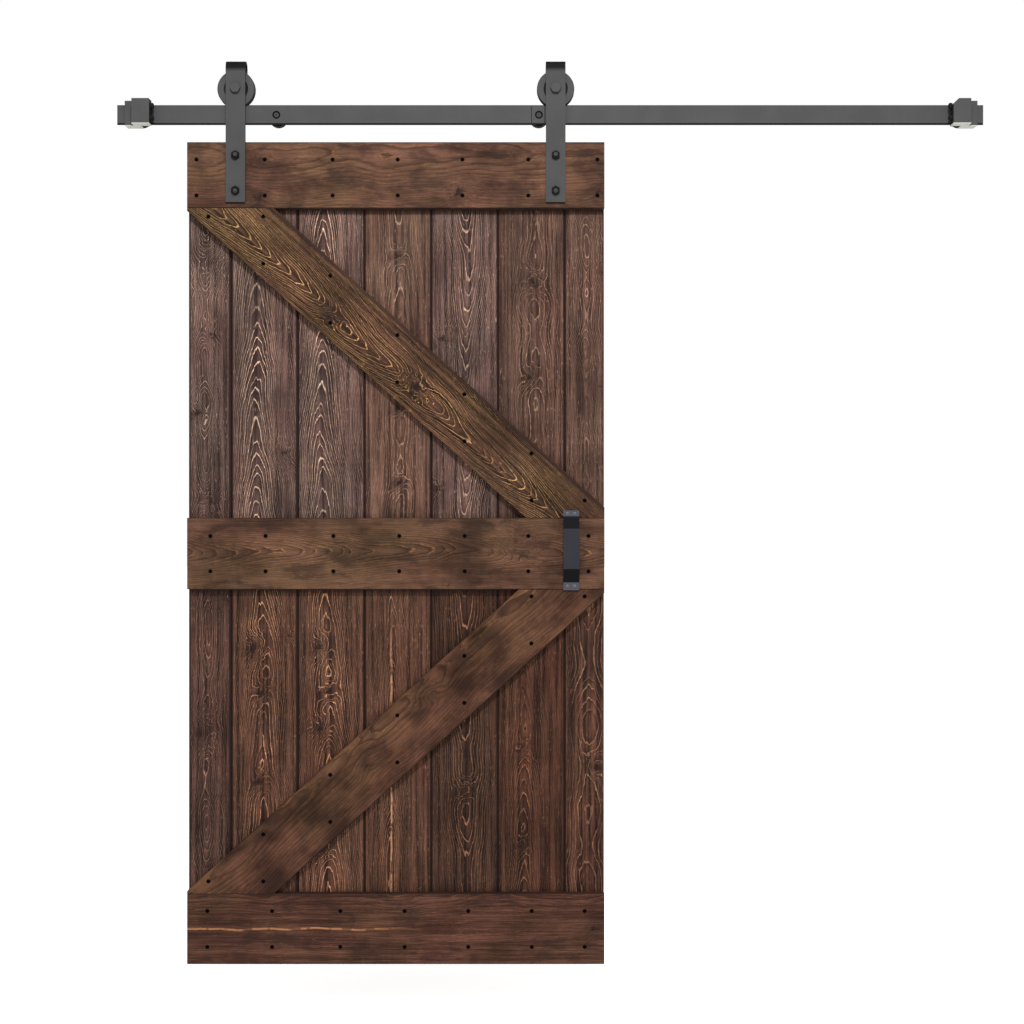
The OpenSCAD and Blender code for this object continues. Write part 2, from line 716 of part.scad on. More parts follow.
// Hex head or nut with the corners of its outer face turned away.
module head_shape(flats, h) {
    corner_r = flats / sqrt(3);
    bevel = 1.5;
    intersection() {
        hexagon(flats, h);
        rotate_extrude() polygon([[0, 0], [corner_r - bevel, 0], [corner_r + past, bevel + past],
            [corner_r + past, h], [0, h]]);
    }
}

module strap_washers(x) {
    color([0.5, 0.5, 0.5]) for (z = bolt_heights)
        into_wall(x, door_back, z) ring(washer_r, bolt_r + bolt_gap, washer_t);
}

module strap_nuts(x) {
    color([0.5, 0.5, 0.5]) for (z = bolt_heights) into_wall(x, door_back - washer_t, z)
        difference() {
            hexagon(nut_flats, nut_t);
            translate([0, 0, -past]) rod(bolt_r + fit, nut_t + 2 * past);
        }
}

module axle_bolt(x) {
    tail = back_leg_back - axle_nut_t - axle_tail;
    color([0.3, 0.3, 0.3]) into_wall(x, strap_face, axle_z) union() {
        translate([0, 0, -past]) rod(axle_r, strap_face - tail + past);
        translate([0, 0, -axle_head_t]) head_shape(axle_flats, axle_head_t);
    }
}

module axle_nut(x) {
    color([0.3, 0.3, 0.3]) into_wall(x, back_leg_back, axle_z) difference() {
        hexagon(axle_nut_flats, axle_nut_t);
        translate([0, 0, -past]) rod(axle_r + fit, axle_nut_t + 2 * past);
    }
}

// The two plain spacers that hold the bearing's inner ring between the legs.
module axle_spacers(x) {
    spacer_l = (leg_span - bearing_w) / 2;
    color([0.6, 0.6, 0.6]) {
        into_wall(x, door_face, axle_z) ring(inner_ring_r, axle_r + axle_gap, spacer_l);
        into_wall(x, wheel_out - bearing_w / 2, axle_z)
            ring(inner_ring_r, axle_r + axle_gap, spacer_l);
    }
}

module bearing_ring(x) {
    color([0.7, 0.7, 0.7]) into_wall(x, wheel_out + bearing_w / 2, axle_z)
        ring(inner_ring_r, axle_r + fit, bearing_w);
}

// The bearing's outer ring with its balls and seals.
module bearing(x) {
    color([0.65, 0.65, 0.65]) into_wall(x, wheel_out + bearing_w / 2, axle_z)
        ring(bearing_r, inner_ring_r + bearing_gap, bearing_w);
}

// Grooved wheel: two flanges beside the tread, a recess in each face and a hub.
module wheel(x) {
    half = wheel_w / 2;
    groove = rail_t / 2 + flange_gap;
    bevel = 1.5;
    lip_d = (wheel_w - bearing_w) / 2;
    color([0.22, 0.22, 0.22]) into_wall(x, wheel_out, axle_z) rotate_extrude() polygon([
        [bearing_r + fit, -half], [hub_r, -half],
        [hub_r, -half + recess_d], [recess_r, -half + recess_d], [recess_r, -half],
        [flange_r - bevel, -half], [flange_r, -half + bevel],
        [flange_r, -groove - bevel], [tread_r, -groove], [tread_r, groove],
        [flange_r, groove + bevel], [flange_r, half - bevel], [flange_r - bevel, half],
        [recess_r, half], [recess_r, half - recess_d], [hub_r, half - recess_d],
        [hub_r, half], [bearing_r - bevel, half], [bearing_r - bevel, half - lip_d + fit],
        [bearing_r + fit, half - lip_d + fit]]);
}

// ---------- pull handle ----------

module handle_screw_places() {
    for (z = [flange_bottom_h / 2, handle_h - flange_top_h / 2], side = [-0.5, 0.5])
        translate([handle_x + side * handle_screw_pitch, -door_face, handle_low + z]) children();
}

// The bar in profile: Y away from the door is negative, and Z starts at its lower end.
// The front outline stands one bar thickness off the back outline along each stretch.
function lean(run, rise) = handle_t * tan(atan2(rise, run) / 2);

module handle_profile() {
    out = handle_out - handle_t;
    low = lean(leg_bottom_h, out);
    high = lean(leg_top_h, out);
    z1 = flange_bottom_h;
    z2 = z1 + leg_bottom_h;
    z3 = z2 + grip_h;
    z4 = z3 + leg_top_h;
    polygon([
        [0, 0], [0, z1], [-out, z2], [-out, z3], [0, z4], [0, handle_h],
        [-handle_t, handle_h], [-handle_t, z4 + high], [-out - handle_t, z3 + high],
        [-out - handle_t, z2 - low], [-handle_t, z1 - low], [-handle_t, 0]]);
}

module pull_handle() {
    color([0.23, 0.23, 0.27]) difference() {
        translate([0, -door_face, handle_low])
            run_x(handle_x - handle_w / 2, handle_x + handle_w / 2) handle_profile();
        handle_screw_places() translate([0, past, 0]) rotate([90, 0, 0])
            rod(handle_screw_r + screw_gap, handle_t + 2 * past);
    }
}

module handle_screws() {
    color([0.15, 0.15, 0.15]) handle_screw_places()
        into_wall(0, handle_t + handle_screw_head_t, 0) rotate_extrude() polygon([
            [0, 0], [handle_screw_head_r * 0.7, 0], [handle_screw_head_r, handle_screw_head_t * 0.6],
            [handle_screw_head_r, handle_screw_head_t], [handle_screw_r, handle_screw_head_t],
            [handle_screw_r, handle_screw_head_t + handle_t + handle_screw_l],
            [0, handle_screw_head_t + handle_t + handle_screw_l]]);
}

// ---------- what is drawn ----------

wall_rail_left();
wall_rail_right();
standoff(fixings[0]);  // standoff_left_end
standoff(fixings[1]);  // standoff_left
standoff(fixings[2]);  // standoff_joint
standoff(fixings[3]);  // standoff_right_end
lag_screw(fixings[0]);  // lag_screw_left_end
lag_screw(fixings[1]);  // lag_screw_left
lag_screw(fixings[2]);  // lag_screw_joint
lag_screw(fixings[3]);  // lag_screw_right_end
stop_clamp(false);  // left_stop_clamp
stop_block(false);  // left_stop_block
stop_bumpers(false);  // left_stop_bumpers
stop_pad(false);  // left_stop_pad
stop_screws(false);  // left_stop_screws
stop_clamp(true);  // right_stop_clamp
stop_block(true);  // right_stop_block
stop_bumpers(true);  // right_stop_bumpers
stop_pad(true);  // right_stop_pad
stop_screws(true);  // right_stop_screws
plank(0);  // plank_1
plank(1);  // plank_2
plank(2);  // plank_3
plank(3);  // plank_4
plank(4);  // plank_5
plank(5);  // plank_6
plank(6);  // plank_7
cross_rail(top_rail_z, top_rail_h, top_rail_screws);  // top_rail
cross_rail(mid_rail_z, mid_rail_h, mid_rail_screws);  // middle_rail
cross_rail(0, bottom_rail_h, bottom_rail_screws);  // bottom_rail
brace(upper_left_z, upper_right_z, -1, mid_rail_top, top_rail_z, upper_brace_screws);  // upper_brace
brace(lower_left_z, lower_right_z, 1, bottom_rail_h, mid_rail_z, lower_brace_screws);  // lower_brace
wood_screws(concat(top_rail_screws, mid_rail_screws, bottom_rail_screws));  // rail_screws
wood_screws(concat(upper_brace_screws, lower_brace_screws));  // brace_screws
pull_handle();
handle_screws();
strap(left_hanger_x);  // left_strap
strap_bolts(left_hanger_x);  // left_strap_bolts
strap_washers(left_hanger_x);  // left_strap_washers
strap_nuts(left_hanger_x);  // left_strap_nuts
axle_bolt(left_hanger_x);  // left_axle_bolt
axle_spacers(left_hanger_x);  // left_axle_spacers
bearing_ring(left_hanger_x);  // left_bearing_ring
axle_nut(left_hanger_x);  // left_axle_nut
wheel(left_hanger_x);  // left_wheel
bearing(left_hanger_x);  // left_bearing
strap(right_hanger_x);  // right_strap
strap_bolts(right_hanger_x);  // right_strap_bolts
strap_washers(right_hanger_x);  // right_strap_washers
strap_nuts(right_hanger_x);  // right_strap_nuts
axle_bolt(right_hanger_x);  // right_axle_bolt
axle_spacers(right_hanger_x);  // right_axle_spacers
bearing_ring(right_hanger_x);  // right_bearing_ring
axle_nut(right_hanger_x);  // right_axle_nut
wheel(right_hanger_x);  // right_wheel
bearing(right_hanger_x);  // right_bearing
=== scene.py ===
"""Looks of the sliding barn door: stained planks, coated steel track, studio and camera.

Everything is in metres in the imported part's frame: +X along the rail, +Y into the wall, +Z up.
"""
import json
import math

import bpy
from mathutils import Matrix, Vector

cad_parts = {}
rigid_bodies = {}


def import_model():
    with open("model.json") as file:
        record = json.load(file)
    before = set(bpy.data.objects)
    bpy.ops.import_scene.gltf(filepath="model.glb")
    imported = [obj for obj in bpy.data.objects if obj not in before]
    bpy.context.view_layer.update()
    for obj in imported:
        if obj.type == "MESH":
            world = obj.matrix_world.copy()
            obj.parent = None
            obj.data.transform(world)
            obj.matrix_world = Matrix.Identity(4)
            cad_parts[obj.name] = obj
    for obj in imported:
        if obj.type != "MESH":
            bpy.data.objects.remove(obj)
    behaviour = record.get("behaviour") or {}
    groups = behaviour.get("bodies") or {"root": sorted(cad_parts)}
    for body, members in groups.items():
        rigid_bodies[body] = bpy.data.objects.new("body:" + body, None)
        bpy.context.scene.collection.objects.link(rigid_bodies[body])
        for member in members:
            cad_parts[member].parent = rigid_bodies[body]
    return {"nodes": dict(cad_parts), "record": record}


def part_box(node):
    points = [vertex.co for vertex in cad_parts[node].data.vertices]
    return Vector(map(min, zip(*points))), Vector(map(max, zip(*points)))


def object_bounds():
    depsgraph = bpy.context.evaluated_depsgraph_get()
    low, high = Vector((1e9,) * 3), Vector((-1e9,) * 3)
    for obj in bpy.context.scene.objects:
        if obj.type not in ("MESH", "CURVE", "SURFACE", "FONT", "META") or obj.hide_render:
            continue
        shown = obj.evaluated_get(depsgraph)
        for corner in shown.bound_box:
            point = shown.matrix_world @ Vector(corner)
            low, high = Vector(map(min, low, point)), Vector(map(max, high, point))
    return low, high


for start_object in list(bpy.data.objects):
    bpy.data.objects.remove(start_object)

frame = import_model()
cad_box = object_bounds()
nodes = frame["nodes"]

MM = 0.001


def centre(node):
    low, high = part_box(node)
    return (low + high) / 2


def size(node):
    low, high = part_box(node)
    return high - low


# ---------- node graph helper ----------


class Graph:
    """Builds a shader graph from short calls. Sockets and plain numbers can be mixed."""

    def __init__(self, tree):
        self.tree = tree

    def node(self, kind, **settings):
        made = self.tree.nodes.new(kind)
        for key, value in settings.items():
            setattr(made, key, value)
        return made

    def put(self, socket, value):
        if isinstance(value, bpy.types.NodeSocket):
            self.tree.links.new(value, socket)
        else:
            socket.default_value = value

    def math(self, operation, *values, clamp=False):
        made = self.node("ShaderNodeMath", operation=operation, use_clamp=clamp)
        for socket, value in zip(made.inputs, values):
            self.put(socket, value)
        return made.outputs[0]

    def add(self, a, b):
        return self.math("ADD", a, b)

    def sub(self, a, b):
        return self.math("SUBTRACT", a, b)

    def mul(self, a, b):
        return self.math("MULTIPLY", a, b)

    def vector(self, operation, *values):
        made = self.node("ShaderNodeVectorMath", operation=operation)
        for socket, value in zip(made.inputs, values):
            self.put(socket, value)
        return made.outputs["Value" if operation in ("DOT_PRODUCT", "LENGTH") else "Vector"]

    def join(self, x, y, z):
        made = self.node("ShaderNodeCombineXYZ")
        for socket, value in zip(made.inputs, (x, y, z)):
            self.put(socket, value)
        return made.outputs[0]

    def ramp(self, value, low, high, out_low=0.0, out_high=1.0):
        """Smooth step of value from low to high."""
        made = self.node("ShaderNodeMapRange", interpolation_type="SMOOTHSTEP")
        for name, given in zip(
            ("Value", "From Min", "From Max", "To Min", "To Max"),
            (value, low, high, out_low, out_high),
        ):
            self.put(made.inputs[name], given)
        return made.outputs[0]

    def noise(self, where, scale=1.0, detail=2.0, rough=0.5, lines=False):
        """Noise from 0 to 1: along one number when lines is set, and in space otherwise."""
        made = self.node("ShaderNodeTexNoise", noise_dimensions="1D" if lines else "3D")
        self.put(made.inputs["W" if lines else "Vector"], where)
        self.put(made.inputs["Scale"], scale)
        self.put(made.inputs["Detail"], detail)
        self.put(made.inputs["Roughness"], rough)
        return made.outputs["Fac"]

    def mix(self, share, a, b, blend="MIX"):
        made = self.node("ShaderNodeMix", data_type="RGBA", blend_type=blend)
        self.put(made.inputs[0], share)
        self.put(made.inputs[6], a)
        self.put(made.inputs[7], b)
        return made.outputs[2]

    def scale_colour(self, colour, factor):
        return self.mix(1.0, colour, self.join(factor, factor, factor), "MULTIPLY")


def colour(red, green, blue):
    """Linear colour of a shade given from 0 to 255."""
    shades = [c / 255 for c in (red, green, blue)]
    linear = [c / 12.92 if c < 0.04045 else ((c + 0.055) / 1.055) ** 2.4 for c in shades]
    return (*linear, 1.0)


def new_material(name):
    material = bpy.data.materials.new(name)
    material.use_nodes = True
    graph = Graph(material.node_tree)
    shader = material.node_tree.nodes["Principled BSDF"]
    return material, graph, shader


def dress(node, material):
    mesh = nodes[node].data
    mesh.materials.clear()
    mesh.materials.append(material)


# ---------- wood ----------

def screw_axes(node):
    """Axes of the separate screws in a node, found from where their vertices gather."""
    found = []
    for vertex in nodes[node].data.vertices:
        flat = Vector((vertex.co.x, 0, vertex.co.z))
        for group in found:
            if (group[0] - flat).length < 12 * MM:
                group.append(flat)
                break
        else:
            found.append([flat])
    return [sum(group, Vector()) / len(group) for group in found]


screws = screw_axes("rail_screws") + screw_axes("brace_screws")


def radial(g, axes):
    """Distance in the wall's plane from the nearest of several axes along +Y."""
    place = g.node("ShaderNodeTexCoord").outputs["Object"]
    flat = g.vector("MULTIPLY", place, (1.0, 0.0, 1.0))
    nearest = None
    for axis in axes:
        gap = g.vector("LENGTH", g.vector("SUBTRACT", flat, (axis.x, 0.0, axis.z)))
        nearest = gap if nearest is None else g.math("MINIMUM", nearest, gap)
    return nearest


UP = Vector((0, 0, 1))
RIGHT = Vector((1, 0, 0))
DEEP = Vector((0, 1, 0))
PLANK_TINTS = ((0.97, 1.0, 0.98, 1), (1.05, 0.99, 0.96, 1))
BLEND = 85 * MM  # hidden behind the middle rail, whose half height is a little more
RAIL_TINTS = ((0.98, 1.0, 0.89, 1), (1.05, 0.965, 0.97, 1))


def wood(name, origin, across, along, half_width, tones, rings, knots=(), seed=0.0,
         lines=0.9, blotch=0.5, fibre=1.0, lower_tones=None, turn=0.0, edge=2 * MM, edge_dark=0.92,
         streak=None, lower_rings=None, pierced=None, bands=1.0, tints=PLANK_TINTS, smears=0.25,
         shadow_lips=()):
    """Stained, brushed softwood cut flat from a log.

    The growth rings are surfaces about a pith that lies behind the board's face, so the same
    rings show on its face, edges and ends. tones are the dark, middle and pale stain colours.
    rings are the pith's sideways offset, its depth, the taper that makes arches (they point up
    the board when it's positive), how far the pith wanders, and the rings in a metre; lower_rings
    give these below turn. Each knot is a place across and along the board, a radius and how dark
    it is. tints are the two stain hues that the colour drifts between, and smears is how strong
    the dark patches of stain are. The last argument gives heights of rail edges. Under each of
    them the front face gets a painted shadow, standing for the shade that the rail casts.
    """
    material, g, shader = new_material(name)
    place = g.node("ShaderNodeTexCoord").outputs["Object"]
    local = g.vector("SUBTRACT", place, tuple(origin))
    u = g.vector("DOT_PRODUCT", local, tuple(across))
    v = g.vector("DOT_PRODUCT", local, tuple(along))
    w = g.vector("DOT_PRODUCT", local, tuple(DEEP))
    upper = g.ramp(v, turn - BLEND, turn + BLEND)

    def both(first, second):
        return first if second is None else g.add(second, g.mul(upper, first - second))

    offset, depth, taper, wander, count = (
        both(first, lower_rings and lower_rings[i]) for i, first in enumerate(rings))

    sway = g.noise(g.add(v, seed + 7.3), 3.0, 2.0, lines=True)
    side = g.sub(u, g.add(offset, g.mul(g.sub(sway, 0.5), 0.03)))
    pith = g.add(depth, w)
    radius = g.math("SQRT", g.add(g.mul(side, side), g.mul(pith, pith)))
    drift = g.noise(g.add(v, seed), 4.0, 1.5, lines=True)
    climb = g.add(g.mul(v, taper), g.mul(g.mul(g.sub(drift, 0.5), 2), wander))
    radius = g.add(radius, climb)
    warp = g.noise(g.join(g.mul(u, 18.0), g.mul(v, 5.0), g.mul(g.add(w, seed), 5.0)), 1.0, 2.0)
    radius = g.add(radius, g.mul(g.sub(warp, 0.5), 0.010))
    crinkle = g.noise(g.join(g.mul(u, 130.0), g.mul(v, 20.0), g.mul(w, 30.0)), 1.0, 2.0)
    radius = g.add(radius, g.mul(g.sub(crinkle, 0.5), 0.0030))

    smudge = core = around = None
    ragged = g.noise(g.join(g.mul(u, 45.0), g.mul(v, 75.0), seed), 1.0, 3.0)
    for at_u, at_v, knot_r, darkness in knots:
        du = g.mul(g.sub(u, at_u), 1 / knot_r)
        dv = g.mul(g.sub(v, at_v), 0.9 / knot_r)
        du = g.add(du, g.mul(g.sub(warp, 0.5), 2.4))
        dv = g.add(dv, g.mul(g.sub(ragged, 0.5), 2.6))
        dv = g.add(dv, g.mul(du, 0.30 if at_u > 0 else -0.30))
        across_squared = g.mul(du, du)
        along_squared = g.mul(dv, dv)
        squared = g.add(across_squared, along_squared)
        swell = g.math("EXPONENT", g.mul(squared, -0.22))
        radius = g.add(radius, g.mul(swell, knot_r * 1.5))
        around = swell if around is None else g.math("MAXIMUM", around, swell)
        spread = g.math("EXPONENT", g.sub(g.mul(across_squared, -0.10), g.mul(along_squared, 0.45)))
        middle = g.math("EXPONENT", g.mul(squared, -1.3))
        spread = g.mul(spread, 0.55 * darkness)
        middle = g.mul(middle, darkness)
        smudge = spread if smudge is None else g.math("MAXIMUM", smudge, spread)
        core = middle if core is None else g.math("MAXIMUM", core, middle)

    turns = g.mul(radius, count)
    uneven = g.noise(g.add(turns, seed * 3), 0.45, 1.0, lines=True)
    turns = g.add(turns, g.mul(uneven, 0.9))
    saw = g.math("FRACT", turns)
    late = g.mul(g.ramp(saw, 0.80, 0.93), g.ramp(saw, 1.0, 0.96))
    near = g.ramp(g.math("ABSOLUTE", side), 0.026, 0.070, 1.0, 0.42)
    if around is not None:
        near = g.math("MAXIMUM", near, around)
    strong = g.noise(g.join(g.mul(u, 14.0), g.mul(v, 5.0), seed), 1.0, 3.0)
    broken = g.noise(g.join(g.mul(u, 260.0), g.mul(v, 70.0), g.mul(w, 200.0)), 1.0, 2.0)
    late = g.mul(g.mul(late, near), g.ramp(strong, 0.33, 0.52, 0.30, 1.0))
    late = g.mul(late, g.ramp(broken, 0.34, 0.52, 0.45, 1.0))
    ring_pick = g.noise(g.math("FLOOR", turns), 0.77, 0.0, lines=True)
    late = g.mul(late, g.ramp(ring_pick, 0.3, 0.55, 0.6, 1.0))

    hair = g.noise(g.join(g.mul(u, 520.0), g.mul(v, 16.0), g.mul(w, 520.0)), 1.0, 3.0, 0.7)
    pore = g.noise(g.join(g.mul(u, 480.0), g.mul(v, 60.0), g.mul(w, 480.0)), 1.0, 2.0)
    band = g.noise(g.join(g.mul(u, 110.0), g.mul(v, 2.2), g.mul(g.add(w, seed), 80.0)), 1.0, 3.0)
    cloud = g.noise(
        g.join(g.mul(u, 9.0), g.mul(v, 6.0), g.add(g.mul(w, 4.0), seed * 2)), 1.0, 4.0, 0.6)
    patch = g.noise(g.join(g.mul(u, 22.0), g.mul(v, 9.0), g.add(g.mul(w, 4.0), seed)), 1.0, 3.0)
    speck = g.mul(g.ramp(pore, 0.60, 0.74), g.ramp(patch, 0.4, 0.65, 0.15, 0.6))

    def stained(shades):
        dark, middle_tone, pale = shades
        tone = g.mix(g.ramp(band, 0.34, 0.64, 1.0 - bands, 1.0), dark, middle_tone)
        tone = g.mix(g.mul(speck, 0.55 * fibre), tone, pale)
        tone = g.mix(g.mul(g.ramp(saw, 0.50, 0.72), g.mul(near, 0.45)), tone, dark)
        return g.mix(g.mul(late, lines), tone, pale)

    tone = stained(tones)
    if lower_tones:
        tone = g.mix(upper, stained(lower_tones), tone)
    shade = g.ramp(hair, 0.25, 0.75, 1.0 - 0.42 * fibre, 1.0 + 0.42 * fibre)
    shade = g.mul(shade, g.ramp(cloud, 0.30, 0.66, 1.0 - 0.5 * blotch, 1.0 + 0.35 * blotch))
    shade = g.mul(shade, g.ramp(saw, 0.0, 0.85, 1.06, 0.84))
    tone = g.scale_colour(tone, shade)
    drift_hue = g.noise(
        g.join(g.mul(u, 8.0), g.mul(v, 3.5), g.add(g.mul(w, 3.0), seed * 5)), 1.0, 2.0)
    tone = g.mix(1.0, tone, g.mix(g.ramp(drift_hue, 0.38, 0.62), *tints), "MULTIPLY")
    # Dark stain colour. The real smears and knots use it, and so do the painted shadow under the
    # rails and the painted shade along the edges.
    stain = colour(30, 19, 17)
    smear = g.noise(
        g.join(g.mul(u, 22.0), g.mul(v, 9.0), g.add(g.mul(w, 5.0), seed * 7)), 1.0, 5.0, 0.65)
    tone = g.mix(g.ramp(smear, 0.48, 0.66, 0.0, smears), tone, stain)
    if smudge is not None:
        streaky = g.ramp(ragged, 0.3, 0.6, 0.35, 1.0)
        tone = g.mix(g.math("MINIMUM", g.mul(smudge, streaky), 0.85), tone, stain)
        tone = g.mix(g.mul(g.ramp(core, 0.25, 0.75, 0.0, 0.8), streaky), tone, colour(20, 12, 10))
    if streak:
        streak_u, streak_end, streak_colour = streak
        bend = g.mul(g.sub(g.noise(g.add(v, seed), 9.0, 4.0, lines=True), 0.5), 0.012)
        gap = g.math("ABSOLUTE", g.sub(g.add(u, bend), streak_u))
        glow = g.mul(g.ramp(gap, 0.0, 4 * MM, 1.0, 0.0), g.ramp(v, streak_end, streak_end - 0.2))
        glow = g.mul(glow, g.ramp(hair, 0.3, 0.7, 0.4, 1.0))
        breaks = g.noise(g.add(v, seed), 22.0, 2.0, lines=True)
        glow = g.mul(glow, g.ramp(breaks, 0.38, 0.52, 0.25, 1.0))
        tone = g.mix(glow, tone, streak_colour)
    # Painted shadow: for 17 mm below each rail's lower edge, the front face is darkened with the
    # stain colour. This stands for the shade that the rail casts.
    for shadow_lip in shadow_lips:
        under = g.mul(g.ramp(v, shadow_lip - 17 * MM, shadow_lip, 0.0, 0.75), g.ramp(w, 0.0, 5 * MM, 1.0, 0.0))
        tone = g.mix(g.mul(under, g.ramp(v, shadow_lip, shadow_lip + MM, 1.0, 0.0)), tone, stain)
    # Darker edges: partly stain pooled along the grooves and board edges, and partly painted shade
    # where the grooves and edges fall into shadow.
    reach = g.math("ABSOLUTE", u)
    rim = g.ramp(reach, half_width - edge - 1.5 * MM, half_width - edge + 0.5 * MM, 0.0, edge_dark)
    tone = g.mix(rim, tone, stain)
    # Painted shade: a near-black disc round each screw in the board, standing for the shade inside
    # its hole.
    if pierced:
        low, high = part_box(pierced)
        inside = [a for a in screws if low.x < a.x < high.x and low.z < a.z < high.z]
        away = radial(g, inside)
        tone = g.mix(g.ramp(away, 4.5 * MM, 6.5 * MM, 0.95, 0.0), tone, colour(8, 5, 4))
    g.put(shader.inputs["Base Color"], tone)

    rough = g.add(g.ramp(hair, 0.3, 0.7, 0.80, 0.66), g.mul(late, -0.10))
    g.put(shader.inputs["Roughness"], rough)
    shader.inputs["Specular IOR Level"].default_value = 0.05
    relief = g.add(g.mul(late, 0.8), g.add(g.mul(hair, 0.7 * fibre), g.mul(saw, -0.3)))
    if core is not None:
        relief = g.add(relief, g.mul(core, 0.6))
    bump = g.node("ShaderNodeBump")
    bump.inputs["Strength"].default_value = 0.5
    bump.inputs["Distance"].default_value = 0.9 * MM
    g.put(bump.inputs["Height"], relief)
    g.put(shader.inputs["Normal"], bump.outputs[0])
    return material


PLANK_UPPER = (colour(35, 24, 23), colour(73, 55, 51), colour(196, 165, 142))
PLANK_LOWER = (colour(28, 17, 14), colour(71, 47, 37), colour(182, 132, 100))
WARM_UPPER = (colour(42, 28, 24), colour(82, 60, 50), colour(188, 150, 124))
BROWN_UPPER = (colour(36, 23, 19), colour(70, 50, 43), colour(180, 144, 120))
DARK_LOWER = (colour(20, 12, 10), colour(51, 33, 26), colour(152, 108, 80))
MAUVE_LOWER = (colour(24, 15, 14), colour(62, 43, 37), colour(160, 118, 98))
RED_LOWER = (colour(26, 15, 12), colour(63, 39, 29), colour(160, 110, 80))
leaf_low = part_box("plank_1")[0]
middle_z = centre("middle_rail").z
# Heights of the top and middle rails' lower edges above the leaf's bottom. The painted shadow on
# the planks starts under them.
rail_shadow_lips = [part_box(rail)[0].z - leaf_low.z for rail in ("top_rail", "middle_rail")]

# For each plank, left to right: tones of the upper half, the rings above and below the middle
# rail, knots as (across, height above the leaf's bottom, radius, darkness), and how strong the
# pale ring lines are.
PLANKS = [
    (PLANK_UPPER, (-0.012, 0.012, 0.0, 0.030, 260), (-0.008, 0.014, 0.02, 0.030, 260),
     [(0.006, 1.83, 0.016, 0.5), (0.006, 1.635, 0.011, 0.9), (-0.036, 1.432, 0.011, 0.9),
      (0.005, 1.20, 0.016, 0.9), (0.03, 0.95, 0.012, 0.6), (-0.02, 0.60, 0.02, 0.6)], 0.55),
    (PLANK_UPPER, (-0.020, 0.026, 0.115, 0.003, 230), (-0.005, 0.026, 0.09, 0.012, 230),
     [(0.056, 1.325, 0.014, 0.9), (-0.028, 0.822, 0.015, 0.9), (-0.012, 0.705, 0.011, 0.9),
      (0.065, 0.85, 0.010, 0.7), (-0.012, 0.47, 0.010, 0.8)], 0.9),
    (PLANK_UPPER, (-0.024, 0.024, 0.115, 0.003, 230), (-0.008, 0.026, 0.09, 0.012, 230),
     [(-0.034, 0.822, 0.013, 0.9), (-0.010, 0.705, 0.012, 0.9), (-0.034, 0.615, 0.013, 0.9),
      (-0.02, 0.295, 0.012, 0.7)], 0.85),
    (WARM_UPPER, (0.005, 0.030, 0.035, 0.016, 220), (-0.018, 0.010, 0.09, 0.012, 250),
     [(0.0, 1.845, 0.010, 0.9), (0.0, 1.445, 0.010, 0.9), (0.0, 1.25, 0.010, 1.0)], 0.45),
    (PLANK_UPPER, (0.004, 0.022, -0.10, 0.004, 230), (0.004, 0.024, -0.06, 0.014, 200),
     [(-0.060, 1.627, 0.013, 0.9), (-0.060, 1.237, 0.013, 0.8), (0.0, 0.45, 0.012, 0.3)], 0.6),
    (BROWN_UPPER, (0.012, 0.040, 0.03, 0.020, 240), (-0.018, 0.022, 0.10, 0.010, 240),
     [(0.006, 1.775, 0.013, 0.9), (-0.006, 1.525, 0.010, 0.8), (-0.025, 0.56, 0.010, 0.7),
      (-0.025, 0.303, 0.010, 0.7)], 0.45),
    (BROWN_UPPER, (0.006, 0.012, 0.01, 0.034, 240), (0.012, 0.060, 0.02, 0.020, 240),
     [(0.045, 1.80, 0.010, 0.6), (0.045, 1.50, 0.010, 0.6), (0.034, 0.51, 0.012, 0.9)], 0.45),
]
LOWER_TONES = (MAUVE_LOWER, PLANK_LOWER, PLANK_LOWER, PLANK_LOWER, DARK_LOWER, RED_LOWER,
               PLANK_LOWER)
TONGUE = 6 * MM
# Widths of the darkened plank edges. These are partly stain and partly painted shade in the
# grooves.
GROOVE_RIM = 3.2 * MM
WIDE_RIM = 4.8 * MM
WIDE_GROOVES = (0, 1)  # the planks with WIDE_RIM
CRACKED = 3  # the plank with a pale crack, given across, up to a height, and in a shade
CRACK = (-0.017, 0.95, colour(150, 106, 78))
for index, (upper_tones, upper_rings, low_rings, plank_knots, strength) in enumerate(PLANKS):
    node = f"plank_{index + 1}"
    # The tongue counts in the node's width, so the middle of the face is left of the box's.
    tongue = 0.0 if index == len(PLANKS) - 1 else TONGUE
    face_low, face_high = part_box(node)
    face_x = (face_low.x + face_high.x - tongue) / 2
    half = (face_high.x - face_low.x - tongue) / 2
    start = Vector((face_x, face_low.y, face_low.z))
    dress(node, wood(
        f"wood_{node}", start, RIGHT, UP, half, upper_tones, upper_rings, plank_knots,
        seed=3.1 * index + 1.7, lower_rings=low_rings, lower_tones=LOWER_TONES[index],
        streak=CRACK if index == CRACKED else None, shadow_lips=rail_shadow_lips,
        turn=middle_z - face_low.z, blotch=0.5, lines=strength,
        edge=WIDE_RIM if index in WIDE_GROOVES else GROOVE_RIM))

RAIL_TONES = (colour(33, 21, 16), colour(70, 49, 38), colour(150, 106, 70))
MIDDLE_TONES = (colour(33, 22, 15), colour(69, 49, 38), colour(140, 102, 66))
BOTTOM_TONES = (colour(32, 18, 14), colour(68, 45, 36), colour(136, 92, 62))
# Width of the darkened edges of the rails and braces, partly stain and partly painted shade.
BOARD_RIM = 1.2 * MM
BRACE_HALF_WIDTH = 78.5 * MM


def rail_wood(node, **looks):
    low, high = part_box(node)
    start = Vector((low.x, low.y, (low.z + high.z) / 2))
    dress(node, wood(
        f"wood_{node}", start, UP, RIGHT, (high.z - low.z) / 2, pierced=node, edge=BOARD_RIM,
        edge_dark=0.7, tints=RAIL_TINTS, smears=0.6, **looks))


